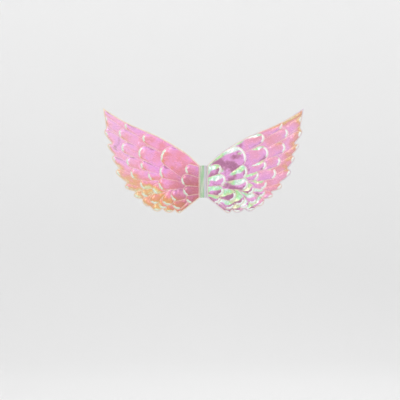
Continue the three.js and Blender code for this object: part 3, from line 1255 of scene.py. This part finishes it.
def overlock(name, side, material):
    order = EDGE if side > 0 else EDGE[::-1]
    line = [(side * x, SEAM_Y, z) for x, z in order]
    # The line must run the same way round on both wings, seen from the front.
    area = sum(a[0] * b[2] - b[0] * a[2] for a, b in zip(line, line[1:] + line[:1]))
    if area < 0:
        line = line[::-1]
    look = {"Front": FORWARD, "Seed": 7 + side, "Material": material}
    return sewn(name, [line], True, **look, **OVERLOCK)


OVERLOCKS = {
    "left": overlock("left_wing_overlock", -1, CREAM_THREAD),
    "right": overlock("right_wing_overlock", 1, LILAC_THREAD),
}
print("overlock triangles:", {n: len(o.data.polygons) * 2 for n, o in OVERLOCKS.items()})

# %% [markdown]
# ## The spine
# The spine is a firm webbing with a shiny ribbon sewn on its front and a softer tape on
# its back. A strip is a closed form with rounded edges. The ribbon dips a little wherever
# a stitch pulls it down, so the dents and the stitches share one pitch.

# %% Strips of tape
TOPSTITCH_PITCH = 2.6 * MM
ROW_X = [middle("spine_stitches_left").x, middle("spine_stitches_right").x]
FOLD_X = 1.3 * MM  # the ribbon is folded back on itself up to here
FOLD_STEP = 0.32 * MM


def strip(name, node, material, across=30, dent=0.0, waviness=0.0, rounding=0.3 * MM,
          fold_x=None, inset=0.0):
    """A closed strip that fills a node's box, less an inset at each side."""
    low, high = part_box(node)
    low.x, high.x = low.x + inset, high.x - inset
    width, height = high.x - low.x, high.z - low.z
    rows = int(height / (0.5 * MM))
    front, back = [], []
    for j in range(rows + 1):
        z = low.z + height * j / rows
        for i in range(across + 1):
            x = low.x + width * i / across
            rim = min(x - low.x, high.x - x, z - low.z, high.z - z, rounding) / rounding
            half = (high.y - low.y) / 2 * (0.35 + 0.65 * math.sqrt(1 - (1 - rim) ** 2))
            bend = waviness * noise.noise(Vector((x * 60, z * 110, 3.0)))
            pull = sum(math.exp(-(((x - row) / (0.9 * MM)) ** 2)) for row in ROW_X)
            pull *= dent * (0.55 + 0.45 * math.cos(2 * math.pi * (z - low.z) / TOPSTITCH_PITCH))
            centre = (low.y + high.y) / 2 + bend
            if fold_x is not None:
                pull += FOLD_STEP * smooth(x, fold_x - 0.1 * MM, fold_x + 0.25 * MM)
            front.append((x, centre - half + pull, z))
            back.append((x, centre + half, z))
    count, wide = len(front), across + 1
    sheet = grid_faces(rows, across)
    rim = list(range(across)) + [j * wide + across for j in range(rows)]
    rim += [rows * wide + i for i in range(across, 0, -1)]
    rim += [j * wide for j in range(rows, 0, -1)]
    faces = sheet + turned_over(sheet, count) + rim_faces(rim, count)
    return recalculated(piece(name, front + back, faces, material))


def ribbon_finish():
    """The shiny ribbon on the spine: the same film, seen where it turns green."""
    made, tree, shader = finish("spine ribbon", 0.32, metallic=0.2, coat=0.4, coat_roughness=0.15)
    place = object_place(tree)
    axes = axes_of(tree, place)
    drawn = add(tree, "ShaderNodeMapping", inputs={"Scale": (3.0, 1.0, 0.5)})
    tree.links.new(place, drawn.inputs["Vector"])
    greens = placed(
        tree, DRIFT, Vector=drawn.outputs["Vector"],
        First=tint(158, 204, 158), Second=tint(206, 214, 196), Patch=0.012,
    )
    right = between(tree, axes["X"], FOLD_X - 0.4 * MM, FOLD_X + 0.4 * MM)
    right = calculate(tree, "MULTIPLY", right, 0.85)
    colour = mixed(tree, right, greens.outputs["Color"], tint(214, 206, 224))
    weave = woven(tree, place, 2.4)
    # Painted shade: the gaps between the ribbon's threads are darkened to a deep green.
    gaps = calculate(tree, "MULTIPLY", weave.outputs["Gaps"], 0.22)
    colour = mixed(tree, gaps, colour, tint(120, 150, 120))
    tree.links.new(colour, shader.inputs["Base Color"])
    bumped(tree, shader, weave.outputs["Height"], 0.08 * MM, 0.6)
    return made


WEBBING_FINISH = cloth_finish(
    "spine webbing", tint(238, 222, 230), tint(224, 206, 216), 1.1, depth=0.25,
)
RIBBON = strip(
    "spine_ribbon", "spine_front_tape", ribbon_finish(),
    across=44, dent=0.22 * MM, waviness=0.16 * MM, fold_x=FOLD_X, inset=0.35 * MM,
)
WEBBING = strip("spine_core_webbing", "spine_webbing", WEBBING_FINISH, rounding=0.45 * MM)
BACK_TAPE = strip("spine_back_strip", "spine_back_tape", WEBBING_FINISH, waviness=0.1 * MM)
print("spine strips:", RIBBON.name, WEBBING.name, BACK_TAPE.name)

# %% [markdown]
# A topstitch is long and low: it rises from the ribbon, runs flat and dips in again. One
# row runs down each side of the ribbon, over the dents that were left for it.

# %% Topstitching on the spine
TOPSTITCH = stitch(TOPSTITCH_PITCH / MM, 0.24, (-1.0, 0, -0.35), (-0.7, 0, 0.35), 0.06)


def topstitches(name, node):
    low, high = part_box(node)
    x = (low.x + high.x) / 2
    line = [(x, high.y, low.z), (x, high.y, high.z)]
    look = {"Front": FORWARD, "Seed": 3, "Material": CREAM_THREAD}
    return sewn(name, [line], False, **look, **TOPSTITCH)


TOPSTITCHES = {n: topstitches("spine_topstitch_" + n, "spine_stitches_" + n) for n in SIDES}
print("topstitch rows:", [t.name for t in TOPSTITCHES.values()])

# %% [markdown]
# ## The cloth hinges
# Between the spine and each wing runs a narrow strip of bare cloth. It is the hinge: it
# starts under the ribbon and ends inside the bound edge.

# %% Cloth hinges
HINGE_FINISH = cloth_finish("hinge cloth", tint(226, 218, 226), tint(214, 200, 212), 2.4)
RIBBON_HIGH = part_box("spine_front_tape")[1]
HINGE_START = RIBBON_HIGH.x - 1.2 * MM
HINGE_END = HINGE_X + 1.4 * MM


def hinge_cloth(name, side):
    across, along = 14, 90
    half = middle("spine_webbing").z + (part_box("spine_webbing")[1].z - 0.8 * MM)
    points = []
    for j in range(along + 1):
        z = half * (2 * j / along - 1)
        for i in range(across + 1):
            x = HINGE_START + (HINGE_END - HINGE_START) * i / across
            gather = 0.12 * MM * noise.noise(Vector((x * 400, z * 700, side)))
            points.append((side * x, SEAM_Y + gather, z))
    made = piece(name, points, [f[::side] for f in grid_faces(along, across)], HINGE_FINISH)
    solid(made, 0.35 * MM, 0)
    return made


HINGES = {n: hinge_cloth(n + "_wing_hinge_cloth", s) for n, s in SIDES.items()}
print("hinge cloths run from x", round(HINGE_START / MM, 2), "to", round(HINGE_END / MM, 2))

# %% [markdown]
# ## The shoulder elastics
# Each elastic is one flat band. An end is folded double and tacked to the back of the
# spine, the band turns a quarter as it leaves, and then it runs in a wide loop. It is
# swept along its path with its flat side turned as listed, because a computed twist would
# roll the band. Its values hold the place along and across the band, for the knit.

# %% Elastic bands
STRAP_ANGLE = math.radians(35)
LOOP_ROUTE = [  # outwards from the swing axis and up, in millimetres
    (0.8, 21.5), (5, 26.5), (16, 32), (36, 41), (60, 44), (82, 35), (95, 12), (94, -14),
    (80, -34), (58, -45), (36, -45), (17, -36), (5, -27), (0.8, -21.5),
]
BAND_HALF = 2.65 * MM
BAND_THICK = 1.05 * MM
RIBS = 7  # cords of rubber across the band
JOINTS = {joint["name"]: joint for joint in frame["joints"]}


def slope_at(before, here, after, gap, next_gap):
    """The slope of a smooth line at a point, from its neighbours and their distances."""
    return (here - before) / gap - (after - before) / (gap + next_gap) + (after - here) / next_gap


def through(points, pitch):
    """A smooth line through points, with the share of the way at each step."""
    points = np.array(points, float)
    padded = np.vstack([2 * points[0] - points[1], points, 2 * points[-1] - points[-2]])
    made, places = [], []
    for i in range(1, len(padded) - 2):
        p = padded[i - 1 : i + 3]
        gaps = np.maximum(np.linalg.norm(np.diff(p, axis=0), axis=1), 1e-6) ** 0.5
        slope_in = slope_at(p[0], p[1], p[2], gaps[0], gaps[1]) * gaps[1]
        slope_out = slope_at(p[1], p[2], p[3], gaps[1], gaps[2]) * gaps[1]
        steps = max(2, int(np.linalg.norm(p[2] - p[1]) / pitch))
        for t in np.arange(steps) / steps:
            a = (2 * t**3 - 3 * t**2 + 1) * p[1] + (t**3 - 2 * t**2 + t) * slope_in
            made.append(a + (3 * t**2 - 2 * t**3) * p[2] + (t**3 - t**2) * slope_out)
            places.append(i - 1 + t)
    made.append(points[-1])
    places.append(len(points) - 1.0)
    return np.array(made), np.array(places)


def band_path(side_name, side):
    """The band's middle line, and the direction of its width at each point."""
    axis = JOINTS[side_name + "_strap_swing"]["pos_m"]
    outwards = np.array([side * math.cos(STRAP_ANGLE), math.sin(STRAP_ANGLE), 0])
    facing = np.array([side * math.sin(STRAP_ANGLE), -math.cos(STRAP_ANGLE), 0])
    stops, widths = [], []
    for level, up in (("upper", 1), ("lower", -1)):
        low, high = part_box(f"{side_name}_strap_{level}_end")
        x = (low.x + high.x) / 2
        near, far = low.y + 0.56 * MM, low.y + 1.75 * MM
        inner, outer = (low.z, high.z) if up > 0 else (high.z, low.z)
        end = [
            (x, near, outer - up * 0.8 * MM),
            (x, near, inner + up * 1.6 * MM),
            (x, (near + far) / 2, inner + up * 0.75 * MM),
            (x, far, inner + up * 1.6 * MM),
            (x, far, outer - up * 1.5 * MM),
            (x, far + 0.4 * MM, outer + up * 1.2 * MM),
        ]
        sideways = [np.array([side, 0, 0])] * len(end)
        stops.append(end if up > 0 else end[::-1])
        widths.append(sideways)
    foot = np.array([axis[0], axis[1], 0])
    loop = [foot + r * MM * outwards + [0, 0, z * MM] for r, z in LOOP_ROUTE]
    points = stops[0] + loop + stops[1]
    turned = widths[0] + [facing] * len(loop) + widths[1]
    line, places = through(points, 1.1 * MM)
    stations = np.arange(len(turned))
    parts = [np.interp(places, stations, part) for part in np.array(turned, float).T]
    width = np.stack(parts, axis=1)
    return line, width / np.linalg.norm(width, axis=1, keepdims=True)


def band_section():
    """Points round the band: across its width, and through its thickness."""
    shares = np.linspace(-1, 1, 4 * RIBS + 1)
    ribs = 0.42 + 0.1 * np.abs(np.sin(shares * RIBS * math.pi / 2))
    ribs *= np.sqrt(np.clip(1 - np.abs(shares) ** 14, 0.06, 1))
    front = [(s, h) for s, h in zip(shares, ribs)]
    back = [(s, -h) for s, h in zip(shares, ribs)]
    return front + back[::-1]


def elastic(side_name, side, material):
    line, width = band_path(side_name, side)
    tangent = np.gradient(line, axis=0)
    tangent /= np.linalg.norm(tangent, axis=1, keepdims=True)
    through_band = np.cross(tangent, width)
    through_band /= np.maximum(np.linalg.norm(through_band, axis=1, keepdims=True), 1e-9)
    section = band_section()
    travelled = np.concatenate([[0], np.cumsum(np.linalg.norm(np.diff(line, axis=0), axis=1))])
    points, knit = [], []
    for spot, wide, deep, far in zip(line, width, through_band, travelled):
        for share, level in section:
            points.append(spot + wide * share * BAND_HALF + deep * level * BAND_THICK)
            knit.append((share * BAND_HALF, far, 0))
    ring = len(section)
    last = (len(line) - 1) * ring
    faces = tube_faces(len(line), ring, False)
    faces += [tuple(range(ring))[::-1], tuple(range(last, last + ring))]
    made = recalculated(piece(side_name + "_shoulder_elastic", points, faces, material))
    keep_values(made, "knit", knit, "FLOAT_VECTOR")
    print(made.name, "is", round(travelled[-1] / MM), "mm long")
    return made


def elastic_finish():
    made, tree, shader = finish("knitted elastic", 0.75, sheen=0.35)
    along = read(tree, "knit", "Vector")
    place = object_place(tree)
    shades = placed(
        tree, DRIFT, Vector=place, First=tint(246, 232, 240), Second=tint(234, 214, 226), Patch=0.02,
    )
    knit = placed(tree, WEAVE, Vector=along, Threads_per_mm=1.6)
    # Painted shade: the gaps in the knit are darkened to a deep pink.
    gaps = calculate(tree, "MULTIPLY", knit.outputs["Gaps"], 0.4)
    colour = mixed(tree, gaps, shades.outputs["Color"], tint(170, 140, 158))
    tree.links.new(colour, shader.inputs["Base Color"])
    bumped(tree, shader, knit.outputs["Height"], 0.22 * MM, 0.8)
    return made


ELASTIC_FINISH = elastic_finish()
ELASTICS = {n: elastic(n, s, ELASTIC_FINISH) for n, s in SIDES.items()}

# %% [markdown]
# A folded end is held by a box of small stitches with a cross inside it, which is the usual
# way to hold a strap. They sit on the band's outer face, towards the wearer.

# %% Tacks on the elastics
TACK_STITCH = stitch(1.0, 0.16, (-0.45, 0, -0.25), (-0.3, 0, 0.3), 0.05)


def tack(side_name, level):
    """A boxed cross of stitches that holds an elastic's folded end."""
    low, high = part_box(f"{side_name}_strap_{level}_tack")
    y = low.y - 0.12 * MM
    a, b = (low.x + 0.2 * MM, y, low.z), (high.x - 0.2 * MM, y, low.z)
    c, d = (b[0], y, high.z), (a[0], y, high.z)
    lines = [(a, b), (b, c), (c, d), (d, a), (a, c), (b, d)]
    name = f"{side_name}_{level}_tack_stitches"
    look = {"Front": BACKWARD, "Seed": 5, "Material": CREAM_THREAD}
    return sewn(name, lines, False, **look, **TACK_STITCH)


TACKS = {(n, level): tack(n, level) for n in SIDES for level in ("upper", "lower")}
print("tacks:", len(TACKS))

# %% [markdown]
# ## The label
# A blank satin label is sewn by its top edge to the back of one wing. Its lower edge is
# free, so it stands off the lining and curls a little.

# %% Care label
def satin_finish():
    made, tree, shader = finish("satin label", 0.38, sheen=0.2)
    place = object_place(tree)
    first, second = tint(250, 250, 250), tint(240, 240, 244)
    shades = placed(tree, DRIFT, Vector=place, First=first, Second=second, Patch=0.006)
    weave = woven(tree, place, 5.0, stretch=(1.0, 1.0, 0.25))
    # Painted shade: the gaps between the satin's threads are darkened to grey.
    gaps = calculate(tree, "MULTIPLY", weave.outputs["Gaps"], 0.15)
    colour = mixed(tree, gaps, shades.outputs["Color"], tint(190, 190, 196))
    tree.links.new(colour, shader.inputs["Base Color"])
    bumped(tree, shader, weave.outputs["Height"], 0.05 * MM, 0.6)
    return made


LABEL_LOW, LABEL_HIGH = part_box("care_label")
BACK_SURFACE = tree_of(FINE_NET.points)
BACK_LEVELS = back_heights(FINE_NET, BACK_SEED)


def lining_level(x, z):
    return SEAM_Y + BACK_LEVELS[BACK_SURFACE.find((x, z, 0))[1]]


def care_label():
    across, down = 36, 24
    points = []
    for j in range(down + 1):
        drop = j / down
        z = LABEL_HIGH.z + (LABEL_LOW.z - LABEL_HIGH.z) * drop
        for i in range(across + 1):
            x = LABEL_LOW.x + (LABEL_HIGH.x - LABEL_LOW.x) * i / across
            bow = 0.5 * MM * math.sin(math.pi * i / across) * drop
            lift = 0.3 * MM + 1.5 * MM * drop**1.6 + bow
            points.append((x, LABEL_LEVEL + lift, z))
    faces = turned_over(grid_faces(down, across))
    made = piece("blank_care_label", points, faces, satin_finish())
    solid(made, 0.22 * MM, 0)
    return made


LABEL_LEVEL = max(
    lining_level(x, z)
    for x in np.linspace(LABEL_LOW.x, LABEL_HIGH.x, 12)
    for z in np.linspace(LABEL_LOW.z, LABEL_HIGH.z, 8)
)
LABEL = care_label()
HEM_Y, HEM_Z = LABEL_LEVEL + 0.42 * MM, LABEL_HIGH.z - 0.9 * MM
HEM_LINE = [(x, HEM_Y, HEM_Z) for x in (LABEL_LOW.x, LABEL_HIGH.x)]
HEM_LOOK = {"Front": BACKWARD, "Seed": 9, "Material": CREAM_THREAD}
LABEL_HEM = sewn("label_hem_stitches", [HEM_LINE], False, **HEM_LOOK, **TACK_STITCH)
print("label level:", round(LABEL_LEVEL / MM, 2))

# %% [markdown]
# ## What moves with what
# Each piece rides on the body it is sewn to. The hinge cloths and the elastics cross a
# joint, so they are put on no body and keep the place where they were made.


for name, side in SIDES.items():
    wing, strap = name + "_wing", name + "_strap"
    layers = {
        "film": FRONTS[name],
        "lining": BACKS[name],
        "padding": WADDINGS[name],
        "edge_binding": EDGES[name],
    }
    for node, made in layers.items():
        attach(made, wing)
        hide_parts(f"{wing}_{node}")
    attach(OVERLOCKS[name], wing)
    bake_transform(HINGES[name])
    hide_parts(strap, strap + "_upper_end", strap + "_lower_end")
    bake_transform(ELASTICS[name])
    for level in ("upper", "lower"):
        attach(TACKS[name, level], "spine")
        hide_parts(f"{strap}_{level}_tack")
    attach(TOPSTITCHES[name], "spine")
    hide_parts("spine_stitches_" + name)

STRIPS = {"spine_front_tape": RIBBON, "spine_webbing": WEBBING, "spine_back_tape": BACK_TAPE}
for node, made in STRIPS.items():
    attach(made, "spine")
    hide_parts(node)
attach(LABEL, "right_wing")
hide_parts("care_label")
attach(LABEL_HEM, "right_wing")
print("pieces placed on bodies")

# %% [markdown]
# ## Stage
# A plain pale room and soft light. The wings are held up by their wearer, so they hang
# well clear of the floor, and the camera looks straight at them.

# %% Stage
CENTRE = Vector((-6.5 * MM, SEAM_Y, -35 * MM))
FLOOR_Z = -0.62
WALL_Y = 3.4


def stage_finish(name, wall_colour, floor_colour):
    made, tree, shader = finish(name, 0.9)
    axes = axes_of(tree, object_place(tree))
    # Painted shade: the paper is darker low down, on the floor, than up the wall.
    height = between(tree, axes["Z"], FLOOR_Z, FLOOR_Z + 1.6)
    tree.links.new(mixed(tree, height, floor_colour, wall_colour), shader.inputs["Base Color"])
    return made


def studio_sweep():
    """A floor that curves up into a wall, behind and in front, so no line shows."""
    bend = 1.2
    half = [(y, FLOOR_Z) for y in np.linspace(0, WALL_Y - bend, 4)]
    turn = np.linspace(0, math.pi / 2, 16)[1:]
    half += [(WALL_Y - bend + bend * math.sin(a), FLOOR_Z + bend * (1 - math.cos(a))) for a in turn]
    half += [(WALL_Y, 3.6)]
    profile = [(-y, z) for y, z in half[:0:-1]] + half
    points = [(x, y, z) for y, z in profile for x in (-7, 7)]
    faces = [(2 * i, 2 * i + 1, 2 * i + 3, 2 * i + 2) for i in range(len(profile) - 1)]
    paper = stage_finish("pale paper", tint(249, 249, 249), tint(230, 230, 230))
    return piece("studio_sweep", points, faces, paper)


SWEEP = studio_sweep()
print("sweep stands on z", FLOOR_Z)

# %% [markdown]
# Three soft lamps light the wings: the key from the upper left, a weaker fill from the
# right and one behind for the back. The room adds an even light, as a pale shop wall does.

# %% Light and camera
def softbox(name, place, size, power):
    lamp = bpy.data.lights.new(name, "AREA")
    lamp.shape = "RECTANGLE"
    lamp.size, lamp.size_y = size, size
    lamp.energy = power
    made = bpy.data.objects.new(name, lamp)
    bpy.context.scene.collection.objects.link(made)
    made.location = place
    made.rotation_euler = (CENTRE - Vector(place)).to_track_quat("-Z", "Y").to_euler()


softbox("key", (-1.1, -1.9, 1.2), 1.0, 10)
softbox("fill", (1.5, -1.8, 0.5), 1.2, 3)
softbox("back", (0.3, 1.9, 1.3), 1.4, 8)
world = bpy.data.worlds.new("room")
world.use_nodes = True
world.node_tree.nodes["Background"].inputs["Color"].default_value = (1, 1, 1, 1)
world.node_tree.nodes["Background"].inputs["Strength"].default_value = 0.98
bpy.context.scene.world = world
bpy.context.scene.view_settings.view_transform = "Standard"

CAMERA_DISTANCE = 2.6
VIEW_WIDTH = 0.76  # what the camera sees at the wings, in metres
SENSOR = 36
camera = bpy.data.objects.new("camera", bpy.data.cameras.new("camera"))
bpy.context.scene.collection.objects.link(camera)
camera.data.sensor_width = SENSOR
camera.data.lens = SENSOR * CAMERA_DISTANCE / VIEW_WIDTH
camera.location = CENTRE + Vector((0, -CAMERA_DISTANCE, 0))
camera.rotation_euler = (math.radians(90), 0, 0)
bpy.context.scene.camera = camera
print("camera sees", VIEW_WIDTH, "m across at the wings")
